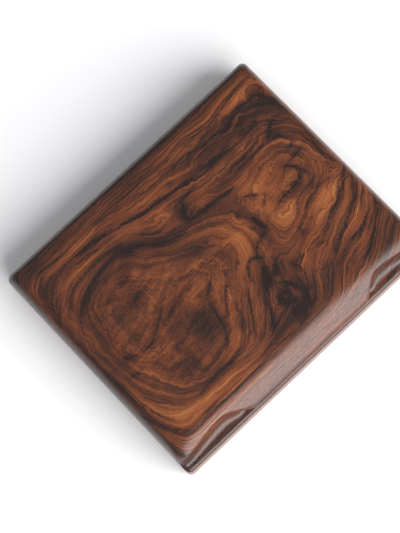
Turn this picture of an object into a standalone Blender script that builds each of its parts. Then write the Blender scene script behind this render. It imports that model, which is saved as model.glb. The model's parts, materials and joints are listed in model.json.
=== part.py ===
"""Hinged hardwood case for dip pens: a solid-wood base and lid that meet on one parting line,
a sculpted finger lip on the lid's front, two brass butt hinges, magnets, notched pen rests,
a partitioned nib bay and cloth linings.

Metres, +Z up. +X runs along the front from left to right, the front faces -Y and the hinges are at +Y.
The origin is at the centre of the underside.
"""

import math

import bmesh
import bpy
from mathutils import Matrix, Vector

# ---------------------------------------------------------------- driving dimensions (metres)
MM = 0.001
W = 190 * MM              # outside width, at the parting line
D = 155.5 * MM            # outside depth, at the parting line
HINGE_PROUD = 2.0 * MM    # how far the hinge knuckles stand behind the back face
YC = -HINGE_PROUD / 2     # the wood's middle, so that the whole case is centred on the origin
ZP = 17.5 * MM            # height of the parting line
H = 34.5 * MM             # height of the closed case
SEAM = 0.15 * MM          # half the gap between lid and base
GAP = 0.3 * MM            # gap left between pieces that touch
CORNER_R = 3.2 * MM       # corner radius in plan

FOOT = 0.6 * MM           # wood stands this high above the desk, on the baize
BAIZE = 1.3 * MM          # thickness of the baize under the base
BAIZE_INSET = 9 * MM

WALL_SIDE = 9 * MM
WALL_FRONT = 10 * MM
WALL_BACK = 10 * MM
FLOOR_Z = 5.0 * MM        # top of the wooden floor inside the base
POCKET_R = 6 * MM         # corner radius of the routed hollows

LID_WALL_FRONT = 13.5 * MM
LID_DEPTH = 9 * MM        # hollow in the lid, above the parting line

CROWN = 0.5 * MM          # rise of the lid's top from its rim to its middle
SIDE_ROUND_A = 6.0 * MM   # round-over of the lid's ends and back: across
SIDE_ROUND_B = 12.0 * MM  # and down
ROLL_FROM = 18.3 * MM     # the front rolls over more gently, from this far behind the front face
ROLL_BEND = 25.3          # and falls by this times the distance squared
RIM_R = 2.6 * MM          # rounding of the lid's front rim: across
RIM_B = 1.8 * MM          # and up
RIM_H = 2.6 * MM          # height of that rim above the parting line
COVE_BACK = 8.6 * MM      # back of the finger cove under the lip, behind the front face
COVE_TOP = 7.2 * MM       # top of the cove's curve under the lip, above the parting line
LIP_UNDER = 7.7 * MM      # underside of the lip above the parting line
SCALLOP_TOP = 13.0 * MM   # beside the lip the cove's curve runs up this far
LIP_RECESS = 0.5 * MM     # the lip's edge, behind the front face
SCALLOP_RECESS = 10.0 * MM  # the crest at the deepest point of the scallops beside the lip
END_RECESS = 6.3 * MM     # and at the lid's two ends
SCALLOP_AT = (34 * MM, 33 * MM)  # deepest point, from the left end and from the right end
LIP_FROM = (58 * MM, 51 * MM)    # where the lip begins, from the same ends
CREST_R = 0.8 * MM        # softness of the crest between cove and top

LINER = 1.2 * MM
REST_X = 60 * MM
REST_T = 8 * MM
REST_LEN = 88 * MM
REST_TOP = 15.0 * MM
NOTCH_R = 5.0 * MM
NOTCH_PITCH = 17 * MM
NOTCH_COUNT = 5

HINGE_X = 60 * MM
LEAF_LEN = 25 * MM
LEAF_T = 1.0 * MM
LEAF_DEPTH = 8 * MM
KNUCKLE_R = 1.9 * MM
BORE_R = 0.88 * MM
PIN_R = 0.8 * MM
SCREW_X = 7.5 * MM
SCREW_Y_IN = 4.6 * MM     # screw centre in front of the back face
SCREW_LEN = 8 * MM
SCREW_R = 0.9 * MM
SCREW_HEAD_R = 1.8 * MM

MAGNET_R = 2.0 * MM
MAGNET_T = 1.5 * MM
MAGNET_X = 80 * MM
MAGNET_Y_IN = 6.6 * MM

X0, X1 = -W / 2, W / 2
Y0, Y1 = YC - D / 2, YC + D / 2
AXIS_Y = Y1 + HINGE_PROUD - KNUCKLE_R  # hinge axis, just behind the back face
COVE_FRONT = RIM_R * (1 - math.cos(math.radians(72)))  # where the rim's rounding runs into the cove
CH = 0.35 * MM            # small chamfer along the parting line

# ---------------------------------------------------------------- scene, collections, materials
for obj in list(bpy.data.objects):
    bpy.data.objects.remove(obj, do_unlink=True)

scene = bpy.context.scene
parts = bpy.data.collections.new("dip_pen_case")
cutters = bpy.data.collections.new("cutters")
scene.collection.children.link(parts)
scene.collection.children.link(cutters)
cutters.hide_render = False


def material(name, rgb, rough, metal=0.0):
    mat = bpy.data.materials.new(name)
    mat.use_nodes = True
    bsdf = mat.node_tree.nodes["Principled BSDF"]
    bsdf.inputs["Base Color"].default_value = (*rgb, 1)
    bsdf.inputs["Roughness"].default_value = rough
    bsdf.inputs["Metallic"].default_value = metal
    return mat


WALNUT = material("figured_walnut", (0.17, 0.06, 0.025), 0.38)
REST_WOOD = material("plain_walnut", (0.22, 0.10, 0.05), 0.5)
BRASS = material("brass", (0.72, 0.52, 0.22), 0.3, 1.0)
STEEL = material("nickel_plate", (0.70, 0.70, 0.72), 0.25, 1.0)
CLOTH = material("green_baize", (0.03, 0.09, 0.06), 0.95)


# ---------------------------------------------------------------- modelling helpers
def put(name, mesh, mat=None, cutter=False):
    obj = bpy.data.objects.new(name, mesh)
    (cutters if cutter else parts).objects.link(obj)
    if mat:
        mesh.materials.append(mat)
    if cutter:
        obj.hide_render = True
        obj.display_type = "WIRE"
    return obj


def from_bm(name, bm, mat=None, cutter=False, at=(0, 0, 0)):
    """An object from a bmesh drawn in place, with its origin moved to the point at."""
    bmesh.ops.recalc_face_normals(bm, faces=bm.faces)
    bmesh.ops.translate(bm, vec=-Vector(at), verts=bm.verts)
    mesh = bpy.data.meshes.new(name)
    bm.to_mesh(mesh)
    bm.free()
    obj = put(name, mesh, mat, cutter)
    obj.location = at
    return obj


def block(name, lo, hi, mat=None, cutter=False):
    """A plain box between two corners."""
    bm = bmesh.new()
    bmesh.ops.create_cube(bm, size=1)
    lo, hi = Vector(lo), Vector(hi)
    bmesh.ops.scale(bm, vec=hi - lo, verts=bm.verts)
    bmesh.ops.translate(bm, vec=(lo + hi) / 2, verts=bm.verts)
    return from_bm(name, bm, mat, cutter, (lo + hi) / 2)


def soft_block(name, lo, hi, r_up, r_low=0, r_top=0, seg=6, mat=None, cutter=False):
    """A box whose upright edges have radius r_up, with optional rounded bottom and top edges."""
    bm = bmesh.new()
    bmesh.ops.create_cube(bm, size=1)
    lo, hi = Vector(lo), Vector(hi)
    bmesh.ops.scale(bm, vec=hi - lo, verts=bm.verts)
    bmesh.ops.translate(bm, vec=(lo + hi) / 2, verts=bm.verts)
    upright = [e for e in bm.edges if abs(e.verts[0].co.z - e.verts[1].co.z) > 1e-6]
    bmesh.ops.bevel(bm, geom=upright, offset=r_up, segments=seg, profile=0.5, affect="EDGES")
    for radius, level, count in ((r_low, lo.z, 4), (r_top, hi.z, 1)):
        if radius:
            ring = [e for e in bm.edges if all(abs(v.co.z - level) < 1e-6 for v in e.verts)]
            bmesh.ops.bevel(bm, geom=ring, offset=radius, segments=count, profile=0.5, affect="EDGES")
    return from_bm(name, bm, mat, cutter, (lo + hi) / 2)


def rod(name, r, length, centre, axis="Z", seg=24, mat=None, cutter=False, r2=None):
    """A cylinder, or a cone when r2 is given, centred on a point and lying along an axis."""
    bm = bmesh.new()
    bmesh.ops.create_cone(bm, cap_ends=True, segments=seg, radius1=r, radius2=r if r2 is None else r2, depth=length)
    if axis == "X":
        bmesh.ops.rotate(bm, matrix=Matrix.Rotation(math.pi / 2, 3, "Y"), verts=bm.verts)
    bmesh.ops.translate(bm, vec=Vector(centre), verts=bm.verts)
    return from_bm(name, bm, mat, cutter, centre)


def prism(name, outline, plane, lo, hi, mat=None, cutter=False):
    """A flat outline, drawn as a filled 2D curve and extruded from lo to hi.
    plane "XY" extrudes along Z, "YZ" along X and "XZ" along Y."""
    curve = bpy.data.curves.new(name + "_outline", "CURVE")
    curve.dimensions = "2D"
    curve.fill_mode = "BOTH"
    curve.extrude = (hi - lo) / 2
    spline = curve.splines.new("POLY")
    spline.points.add(len(outline) - 1)
    for point, (u, v) in zip(spline.points, outline):
        point.co = (u, v, 0, 1)
    spline.use_cyclic_u = True
    drawn = bpy.data.objects.new(name + "_outline", curve)
    scene.collection.objects.link(drawn)
    mid = (lo + hi) / 2
    drawn.matrix_world = {
        "XY": Matrix.Translation((0, 0, mid)),
        "YZ": Matrix(((0, 0, 1, mid), (1, 0, 0, 0), (0, 1, 0, 0), (0, 0, 0, 1))),
        "XZ": Matrix(((1, 0, 0, 0), (0, 0, -1, mid), (0, 1, 0, 0), (0, 0, 0, 1))),
    }[plane]
    bpy.context.view_layer.update()
    graph = bpy.context.evaluated_depsgraph_get()
    mesh = bpy.data.meshes.new_from_object(drawn.evaluated_get(graph))
    mesh.transform(drawn.matrix_world)
    bpy.data.objects.remove(drawn, do_unlink=True)
    bpy.data.curves.remove(curve)
    bm = bmesh.new()
    bm.from_mesh(mesh)
    bmesh.ops.remove_doubles(bm, verts=bm.verts, dist=1e-6)
    bpy.data.meshes.remove(mesh)
    us, vs = [u for u, _ in outline], [v for _, v in outline]
    u, v = (min(us) + max(us)) / 2, (min(vs) + max(vs)) / 2
    at = {"XY": (u, v, mid), "YZ": (mid, u, v), "XZ": (u, mid, v)}[plane]
    return from_bm(name, bm, mat, cutter, at)


def combine(target, tool, operation="DIFFERENCE"):
    modifier = target.modifiers.new(f"{operation.lower()}_{tool.name}", "BOOLEAN")
    modifier.operation = operation
    modifier.solver = "EXACT"
    modifier.object = tool
    return target


def smooth(obj, angle=35):
    obj.data.shade_smooth()
    obj.data.set_sharp_from_angle(angle=math.radians(angle))
    return obj


def arc(cx, cy, a, b, start, end, count):
    """Points on an ellipse, from one angle to another in degrees."""
    return [
        (
            cx + a * math.cos(math.radians(start + (end - start) * i / count)),
            cy + b * math.sin(math.radians(start + (end - start) * i / count)),
        )
        for i in range(count + 1)
    ]


def rounded_outline(x0, x1, y0, y1, radii, count=5):
    """Outline of a rectangle with its own radius at each corner: front left, front right, back right, back left."""
    corners = (
        (x0, y0, 1, 1, 180),
        (x1, y0, -1, 1, 270),
        (x1, y1, -1, -1, 0),
        (x0, y1, 1, -1, 90),
    )
    points = []
    for (x, y, sx, sy, start), r in zip(corners, radii):
        if r:
            points += arc(x + sx * r, y + sy * r, r, r, start, start + 90, count)
        else:
            points.append((x, y))
    return points


def ease(t):
    """0 to 1 with a level start and finish."""
    t = min(1, max(0, t))
    return (1 - math.cos(math.pi * t)) / 2


def soft_max(a, b, r):
    return (a + b + math.sqrt((a - b) ** 2 + r * r)) / 2


def lip_line(x):
    """How far behind the front face the lid's crest lies at x: close in the middle, which is the lip,
    deep in the scallop on each side of it, and less deep again at the ends."""
    side = 0 if x < 0 else 1
    from_end = max(0, W / 2 - abs(x))
    deep, lip = SCALLOP_AT[side], LIP_FROM[side]
    if from_end < deep:
        return END_RECESS + (SCALLOP_RECESS - END_RECESS) * ease(from_end / deep)
    return SCALLOP_RECESS + (LIP_RECESS - SCALLOP_RECESS) * ease((from_end - deep) / (lip - deep))


def cove_line(x, z):
    """How far behind the front face the cove's surface lies at x and at a height z above the parting line."""
    under_lip = 1 - (lip_line(x) - LIP_RECESS) / (SCALLOP_RECESS - LIP_RECESS)
    if W / 2 - abs(x) < SCALLOP_AT[0 if x < 0 else 1]:
        under_lip = 0
    under_lip = ease(under_lip)
    back = lip_line(x) + (COVE_BACK - lip_line(x)) * under_lip
    top = SCALLOP_TOP + (COVE_TOP - SCALLOP_TOP) * under_lip
    q = min(1, max(0, (top - z) / (top - RIM_H)))
    return COVE_FRONT + (back - COVE_FRONT) * (1 - q**3) ** (1 / 3)


# ---------------------------------------------------------------- base
base = soft_block(
    "base_shell",
    (X0, Y0, FOOT),
    (X1, Y1, ZP - SEAM),
    CORNER_R,
    r_low=2.6 * MM,
    r_top=0.35 * MM,
    mat=WALNUT,
)
hollow_base = soft_block(
    "cut_base_hollow",
    (X0 + WALL_SIDE, Y0 + WALL_FRONT, FLOOR_Z),
    (X1 - WALL_SIDE, Y1 - WALL_BACK, ZP + 5 * MM),
    POCKET_R,
    cutter=True,
)
combine(base, hollow_base)
underside = soft_block(
    "cut_baize_recess",
    (X0 + BAIZE_INSET, Y0 + BAIZE_INSET, -2 * MM),
    (X1 - BAIZE_INSET, Y1 - BAIZE_INSET, BAIZE + GAP),
    5 * MM,
    cutter=True,
)
combine(base, underside)
smooth(base)

soft_block(
    "underside_baize",
    (X0 + BAIZE_INSET + GAP, Y0 + BAIZE_INSET + GAP, 0),
    (X1 - BAIZE_INSET - GAP, Y1 - BAIZE_INSET - GAP, BAIZE),
    5 * MM - GAP,
    mat=CLOTH,
)

# ---------------------------------------------------------------- lid: a loft through level contours of unlike shape
ZL = ZP + SEAM
FRONT_STEPS = 60


def contour(z, side, back, r_front, r_back, front):
    """One level outline of the lid. side and back are insets from the widest outline, and front is a
    function of x that gives the front's inset."""
    half = W / 2 - side
    y_back = Y1 - back
    run = half - r_front
    points = []
    y_left, y_right = Y0 + front(-run), Y0 + front(run)
    points += [(px, py, z) for px, py in arc(-run, y_left + r_front, r_front, r_front, 180, 270, 5)]
    for i in range(1, FRONT_STEPS):
        x = -run + 2 * run * i / FRONT_STEPS
        points.append((x, Y0 + front(x), z))
    points += [(px, py, z) for px, py in arc(run, y_right + r_front, r_front, r_front, 270, 360, 5)]
    run = half - r_back
    points += [(px, py, z) for px, py in arc(run, y_back - r_back, r_back, r_back, 0, 90, 5)]
    points += [(px, py, z) for px, py in arc(-run, y_back - r_back, r_back, r_back, 90, 180, 5)]
    return points


def loft(name, rings, mat=None):
    """A closed body through a list of contours with equal point counts, capped below and above."""
    bm = bmesh.new()
    rows = [[bm.verts.new(p) for p in ring] for ring in rings]
    count = len(rows[0])
    for lower, upper in zip(rows, rows[1:]):
        for i in range(count):
            j = (i + 1) % count
            bm.faces.new((lower[i], lower[j], upper[j], upper[i]))
    bm.faces.new(rows[0][::-1])
    bm.faces.new(rows[-1])
    return from_bm(name, bm, mat, at=(0, AXIS_Y, ZP))


RIM_TOP = H - CROWN


def side_inset(z):
    """Inset of the lid's ends and back at height z: an elliptical round-over."""
    t = min(1, max(0, (z - (RIM_TOP - SIDE_ROUND_B)) / SIDE_ROUND_B))
    return SIDE_ROUND_A * (1 - math.sqrt(max(0, 1 - t * t)))


def level(z, front, r_front):
    """A contour between the parting line and the top's rim."""
    side = side_inset(z)
    return contour(z, side, side, r_front, CORNER_R + 0.4 * side, front)


rings = [
    contour(ZL, CH, CH, CORNER_R, CORNER_R, lambda x: CH),
    contour(ZL + CH, 0, 0, CORNER_R, CORNER_R, lambda x: 0),
]
for angle in (0, 24, 48, 72):
    s, c = math.sin(math.radians(angle)), math.cos(math.radians(angle))
    rings.append(level(ZP + RIM_H - RIM_B * (1 - s), lambda x: RIM_R * (1 - c), CORNER_R))
for i, z in enumerate((2.62, 2.75, 3.0, 3.5, 4.3, 5.2, 6.2, 7.2)):
    rings.append(level(ZP + z * MM, lambda x: cove_line(x, z * MM), (3.4 + 0.25 * i) * MM))


def above_lip(z):
    """The front's inset above the lip's underside: the lip or the cove, whichever stands further forward,
    until the top's roll-over comes behind it."""
    drop = max(0, RIM_TOP - z)
    roll = ROLL_FROM - math.sqrt(drop / ROLL_BEND)

    def front(x):
        return soft_max(min(lip_line(x), cove_line(x, z - ZP)), roll, CREST_R * min(1, drop / (1 * MM)))

    return front


rings.append(level(ZP + LIP_UNDER, above_lip(ZP + LIP_UNDER), 5.2 * MM))
reach = math.sqrt((RIM_TOP - ZP - LIP_UNDER) / ROLL_BEND)
for i in range(1, 14):
    z = RIM_TOP - ROLL_BEND * (reach * (1 - i / 14)) ** 2
    rings.append(level(z, above_lip(z), (5.2 + 0.3 * i) * MM))
roll = ROLL_FROM
rings.append(contour(RIM_TOP, SIDE_ROUND_A, SIDE_ROUND_A, 9.5 * MM, 5.6 * MM, lambda x: roll))
for inset, rise in ((8, 0.5), (20, 0.85), (34, 1)):
    d = inset * MM
    rings.append(
        contour(RIM_TOP + CROWN * rise, SIDE_ROUND_A + d, SIDE_ROUND_A + d, 10 * MM, 8 * MM, lambda x: roll + d)
    )
lid = loft("lid_shell", rings, WALNUT)

hollow_lid = soft_block(
    "cut_lid_hollow",
    (X0 + WALL_SIDE, Y0 + LID_WALL_FRONT, ZP - 5 * MM),
    (X1 - WALL_SIDE, Y1 - WALL_BACK, ZP + LID_DEPTH),
    POCKET_R,
    cutter=True,
)
combine(lid, hollow_lid)
smooth(lid)

# ---------------------------------------------------------------- linings
PEN_BAY_BACK = Y0 + WALL_FRONT + 91 * MM
PARTITION_T = 3 * MM
NIB_BAY_FRONT = PEN_BAY_BACK + PARTITION_T
IN_X0, IN_X1 = X0 + WALL_SIDE + GAP, X1 - WALL_SIDE - GAP
IN_Y0, IN_Y1 = Y0 + WALL_FRONT + GAP, Y1 - WALL_BACK - GAP
LINER_LOW = FLOOR_Z + GAP
LINER_TOP = LINER_LOW + LINER

prism(
    "pen_bay_lining",
    rounded_outline(IN_X0, IN_X1, IN_Y0, PEN_BAY_BACK - GAP, [POCKET_R, POCKET_R, 0, 0]),
    "XY",
    LINER_LOW,
    LINER_TOP,
    mat=CLOTH,
)
prism(
    "nib_bay_lining",
    rounded_outline(IN_X0, IN_X1, NIB_BAY_FRONT + GAP, IN_Y1, [0, 0, POCKET_R, POCKET_R]),
    "XY",
    LINER_LOW,
    LINER_TOP,
    mat=CLOTH,
)
prism(
    "lid_lining",
    rounded_outline(IN_X0, IN_X1, Y0 + LID_WALL_FRONT + GAP, IN_Y1, [POCKET_R] * 4),
    "XY",
    ZP + LID_DEPTH - GAP - LINER,
    ZP + LID_DEPTH - GAP,
    mat=CLOTH,
)

# ---------------------------------------------------------------- partitions of the nib bay
block("nib_bay_partition", (IN_X0, PEN_BAY_BACK, LINER_LOW), (IN_X1, NIB_BAY_FRONT, ZP - 1.2 * MM), mat=REST_WOOD)
for side, sign in (("left", -1), ("right", 1)):
    x = sign * 28.5 * MM
    block(
        f"nib_bay_divider_{side}",
        (x - 1.25 * MM, NIB_BAY_FRONT + GAP, LINER_TOP + GAP),
        (x + 1.25 * MM, IN_Y1, ZP - 2.2 * MM),
        mat=REST_WOOD,
    )

# ---------------------------------------------------------------- pen rests
REST_MID = (IN_Y0 + PEN_BAY_BACK) / 2
for side, sign in (("left", -1), ("right", 1)):
    x = sign * REST_X
    rest = soft_block(
        f"pen_rest_{side}",
        (x - REST_T / 2, REST_MID - REST_LEN / 2, LINER_TOP + GAP),
        (x + REST_T / 2, REST_MID + REST_LEN / 2, REST_TOP),
        0.8 * MM,
        r_top=0.4 * MM,
        seg=2,
        mat=REST_WOOD,
    )
    for i in range(NOTCH_COUNT):
        y = REST_MID + (i - (NOTCH_COUNT - 1) / 2) * NOTCH_PITCH
        combine(rest, rod(f"cut_notch_{side}_{i}", NOTCH_R, 20 * MM, (x, y, REST_TOP + 0.2 * MM), "X", 28, cutter=True))
    smooth(rest)

# ---------------------------------------------------------------- magnets
for side, sign in (("left", -1), ("right", 1)):
    at = (sign * MAGNET_X, Y0 + MAGNET_Y_IN)
    low = ZP - SEAM - 0.1 * MM - MAGNET_T
    high = ZP + SEAM + 0.1 * MM
    rod(f"base_magnet_{side}", MAGNET_R, MAGNET_T, (*at, low + MAGNET_T / 2), seg=24, mat=STEEL)
    rod(f"lid_magnet_{side}", MAGNET_R, MAGNET_T, (*at, high + MAGNET_T / 2), seg=24, mat=STEEL)
    bore = MAGNET_R + GAP
    combine(base, rod(f"cut_base_magnet_{side}", bore, 10 * MM, (*at, low - GAP + 5 * MM), seg=24, cutter=True))
    combine(lid, rod(f"cut_lid_magnet_{side}", bore, 10 * MM, (*at, high + MAGNET_T + GAP - 5 * MM), seg=24, cutter=True))

# ---------------------------------------------------------------- hinges
KNUCKLE_GAP = 0.3 * MM
MIDDLE = 9 * MM
CLEAR_R = KNUCKLE_R + 0.4 * MM
HEAD_T = 0.6 * MM


def turned(name, profile, centre, up=1, seg=20, mat=None):
    """A turned piece: (radius, height) points from the top of the outside to the bottom, spun with Screw."""
    mesh = bpy.data.meshes.new(name)
    bm = bmesh.new()
    made = [bm.verts.new((r, 0, z)) for r, z in profile]
    for a, b in zip(made, made[1:]):
        bm.edges.new((a, b))
    bm.to_mesh(mesh)
    bm.free()
    obj = put(name, mesh, mat)
    spin = obj.modifiers.new("spin", "SCREW")
    spin.axis = "Z"
    spin.steps = spin.render_steps = seg
    spin.use_merge_vertices = True
    spin.merge_threshold = 1e-5
    spin.use_smooth_shade = True
    obj.location = centre
    if up < 0:
        obj.rotation_euler = (math.pi, 0, 0)
    return obj


def hinge(side, hx):
    """One butt hinge: two leaves let into the rims, three knuckles, a pin and four screws."""
    half = LEAF_LEN / 2
    front = Y1 - LEAF_DEPTH
    outer = (half - MIDDLE / 2 - KNUCKLE_GAP)  # length of each outer knuckle
    spans = {
        "base": [(-half, -half + outer), (half - outer, half)],
        "lid": [(-MIDDLE / 2, MIDDLE / 2)],
    }
    for body, wood, up in (("base", base, 1), ("lid", lid, -1)):
        face = ZP - up * SEAM                    # the leaf's face, flush with the rim
        back = face - up * LEAF_T
        leaf = block(
            f"hinge_leaf_{body}_{side}",
            (hx - half, front, min(face, back)),
            (hx + half, AXIS_Y, max(face, back)),
            mat=BRASS,
        )
        other = spans["lid" if body == "base" else "base"]
        reach = 0.35 * MM
        for k, (a, b) in enumerate(other):
            a2 = a - reach if a > -half + 1e-6 else a - 2 * MM
            b2 = b + reach if b < half - 1e-6 else b + 2 * MM
            combine(
                leaf,
                rod(f"cut_{body}_{side}_relief{k}", KNUCKLE_R + 0.35 * MM, b2 - a2, (hx + (a2 + b2) / 2, AXIS_Y, ZP), "X", 24, cutter=True),
            )
        for k, (a, b) in enumerate(spans[body]):
            combine(
                leaf,
                rod(f"join_{body}_{side}_knuckle{k}", KNUCKLE_R, b - a, (hx + (a + b) / 2, AXIS_Y, ZP), "X", 24, cutter=True),
                "UNION",
            )
        combine(leaf, rod(f"cut_{body}_{side}_bore", BORE_R, LEAF_LEN + 6 * MM, (hx, AXIS_Y, ZP), "X", 20, cutter=True))

        # the mortise in the rim, and room for the knuckles
        combine(
            wood,
            block(
                f"cut_{body}_{side}_mortise",
                (hx - half - GAP, front - GAP, min(back - up * GAP, face + up * 3 * MM)),
                (hx + half + GAP, Y1 + 5 * MM, max(back - up * GAP, face + up * 3 * MM)),
                cutter=True,
            ),
        )
        combine(
            wood,
            rod(f"cut_{body}_{side}_knuckle_room", CLEAR_R, LEAF_LEN + 2 * (HEAD_T + 0.8 * MM), (hx, AXIS_Y, ZP), "X", 24, cutter=True),
        )

        # countersunk screws
        for j, dx in (("a", -SCREW_X), ("b", SCREW_X)):
            sx, sy = hx + dx, Y1 - SCREW_Y_IN
            csk = 1.0 * MM
            depth = LEAF_T + 4 * MM
            combine(leaf, rod(f"cut_{body}_{side}_{j}_hole", SCREW_R + 0.35 * MM, depth, (sx, sy, face), seg=20, cutter=True))
            wide = SCREW_HEAD_R + 0.3 * MM
            narrow = SCREW_R + 0.3 * MM
            # the cone runs past the face so that no two surfaces coincide
            over = 0.5 * MM
            slope = (wide - narrow) / csk
            cone = rod(
                f"cut_{body}_{side}_{j}_csk",
                (narrow if up > 0 else wide + slope * over),
                csk + over,
                (sx, sy, face - up * (csk - over) / 2),
                seg=20,
                cutter=True,
                r2=(wide + slope * over if up > 0 else narrow),
            )
            combine(leaf, cone)
            combine(
                wood,
                rod(
                    f"cut_{body}_{side}_{j}_pilot",
                    SCREW_R + GAP,
                    SCREW_LEN + 0.6 * MM + 3 * MM,
                    (sx, sy, face - up * (SCREW_LEN + 0.6 * MM - 3 * MM) / 2),
                    seg=16,
                    cutter=True,
                ),
            )
            screw = turned(
                f"screw_{body}_{side}_{j}",
                [
                    (0, 0),
                    (SCREW_HEAD_R, 0),
                    (SCREW_HEAD_R, -0.12 * MM),
                    (SCREW_R, -0.12 * MM - (SCREW_HEAD_R - SCREW_R) * 0.95),
                    (SCREW_R, -SCREW_LEN + 1.4 * MM),
                    (0, -SCREW_LEN),
                ],
                (sx, sy, face - up * 0.05 * MM),
                up,
                seg=18,
                mat=BRASS,
            )
            slot = block(
                f"cut_{body}_{side}_{j}_slot",
                (sx - 3 * MM, sy - 0.25 * MM, face - 0.5 * MM),
                (sx + 3 * MM, sy + 0.25 * MM, face + 0.5 * MM),
                cutter=True,
            )
            combine(screw, slot)
        smooth(leaf)

    # headed pin, riveted through the knuckles
    length = LEAF_LEN + 2 * (GAP + HEAD_T)
    shank = LEAF_LEN + 2 * GAP
    pin = rod(f"hinge_pin_{side}", PIN_R, length - 0.4 * MM, (hx, AXIS_Y, ZP), "X", 20, mat=BRASS)
    for k, sign in (("l", -1), ("r", 1)):
        head = rod(
            f"join_pin_{side}_{k}",
            (1.45 * MM if sign > 0 else 1.1 * MM),
            HEAD_T,
            (hx + sign * (shank / 2 + HEAD_T / 2), AXIS_Y, ZP),
            "X",
            20,
            cutter=True,
            r2=(1.1 * MM if sign > 0 else 1.45 * MM),
        )
        combine(pin, head, "UNION")
    smooth(pin)


hinge("left", -HINGE_X)
hinge("right", HINGE_X)

# ---------------------------------------------------------------- the lid's pieces hang on an empty on the hinge axis
pivot = bpy.data.objects.new("lid_hinge_axis", None)
pivot.empty_display_type = "ARROWS"
pivot.empty_display_size = 0.02
pivot.location = (0, AXIS_Y, ZP)
parts.objects.link(pivot)
for obj in list(parts.objects):
    if obj.name.startswith(("lid_shell", "lid_lining", "lid_magnet", "hinge_leaf_lid", "screw_lid")):
        obj.parent = pivot
        obj.matrix_parent_inverse = Matrix.Translation(-pivot.location)
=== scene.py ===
import json
import math

import bmesh
import bpy
import numpy as np
from mathutils import Matrix, Vector


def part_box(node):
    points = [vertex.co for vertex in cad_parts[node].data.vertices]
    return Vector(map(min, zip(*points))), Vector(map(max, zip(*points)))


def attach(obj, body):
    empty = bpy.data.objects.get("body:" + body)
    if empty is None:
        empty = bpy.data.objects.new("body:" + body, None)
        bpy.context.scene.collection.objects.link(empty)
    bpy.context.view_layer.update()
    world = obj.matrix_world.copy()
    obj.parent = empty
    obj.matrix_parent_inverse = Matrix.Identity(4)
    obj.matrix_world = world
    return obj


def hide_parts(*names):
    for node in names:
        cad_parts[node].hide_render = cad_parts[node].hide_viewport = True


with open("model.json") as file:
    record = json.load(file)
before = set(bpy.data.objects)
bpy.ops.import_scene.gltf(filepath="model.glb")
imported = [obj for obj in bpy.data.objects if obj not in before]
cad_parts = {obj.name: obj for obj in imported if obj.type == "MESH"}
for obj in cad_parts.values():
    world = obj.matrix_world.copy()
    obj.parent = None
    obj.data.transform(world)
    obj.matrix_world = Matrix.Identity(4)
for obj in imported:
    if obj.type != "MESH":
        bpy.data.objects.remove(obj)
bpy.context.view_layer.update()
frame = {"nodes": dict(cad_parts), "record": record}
scene = bpy.context.scene
scene.view_settings.view_transform = "Standard"
MM = 0.001

# ---------------------------------------------------------------- camera
cam_data = bpy.data.cameras.new("camera")
cam_data.sensor_width = 36
cam_data.lens = 1700 / 533 * 36
camera = bpy.data.objects.new("camera", cam_data)
scene.collection.objects.link(camera)
view = Vector((0.09827, 0.18604, -0.97762)).normalized()
up = Vector((0.67941, 0.70526, 0.2025))
right = view.cross(up).normalized()
up = right.cross(view).normalized()
camera.matrix_world = Matrix.Translation((-0.10505, -0.17907, 0.98611)) @ Matrix(
    (right, up, -view)
).transposed().to_4x4()
scene.camera = camera


# ---------------------------------------------------------------- objects
def link(obj):
    scene.collection.objects.link(obj)
    return obj


def mesh_object(name, verts, faces):
    mesh = bpy.data.meshes.new(name)
    mesh.from_pydata([tuple(v) for v in verts], [], faces)
    mesh.update()
    return link(bpy.data.objects.new(name, mesh))


def bm_object(name, bm):
    bmesh.ops.recalc_face_normals(bm, faces=bm.faces)
    mesh = bpy.data.meshes.new(name)
    bm.to_mesh(mesh)
    bm.free()
    return link(bpy.data.objects.new(name, mesh))


def cut(target, tool):
    """Subtracts one mesh object from another and leaves a plain mesh behind."""
    modifier = target.modifiers.new("cut", "BOOLEAN")
    modifier.operation = "DIFFERENCE"
    modifier.solver = "EXACT"
    modifier.object = tool
    graph = bpy.context.evaluated_depsgraph_get()
    graph.update()
    mesh = bpy.data.meshes.new_from_object(target.evaluated_get(graph))
    target.modifiers.clear()
    old = target.data
    target.data = mesh
    mesh.name = old.name
    bpy.data.meshes.remove(old)
    bpy.data.objects.remove(tool, do_unlink=True)


def add_box(bm, lo, hi, r=0.0, seg=8):
    """A box, with rounded upright edges when r is given."""
    made = bmesh.ops.create_cube(bm, size=1)["verts"]
    lo, hi = Vector(lo), Vector(hi)
    bmesh.ops.scale(bm, vec=hi - lo, verts=made)
    bmesh.ops.translate(bm, vec=(lo + hi) / 2, verts=made)
    if r:
        edges = {e for v in made for e in v.link_edges if abs(e.verts[0].co.z - e.verts[1].co.z) > 1e-6}
        bmesh.ops.bevel(bm, geom=list(edges), offset=r, segments=seg, profile=0.5, affect="EDGES")


def add_rod(bm, r, length, centre, axis="Z", seg=32):
    made = bmesh.ops.create_cone(bm, cap_ends=True, segments=seg, radius1=r, radius2=r, depth=length)["verts"]
    if axis == "X":
        bmesh.ops.rotate(bm, matrix=Matrix.Rotation(math.pi / 2, 3, "Y"), verts=made)
    bmesh.ops.translate(bm, vec=Vector(centre), verts=made)


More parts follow.
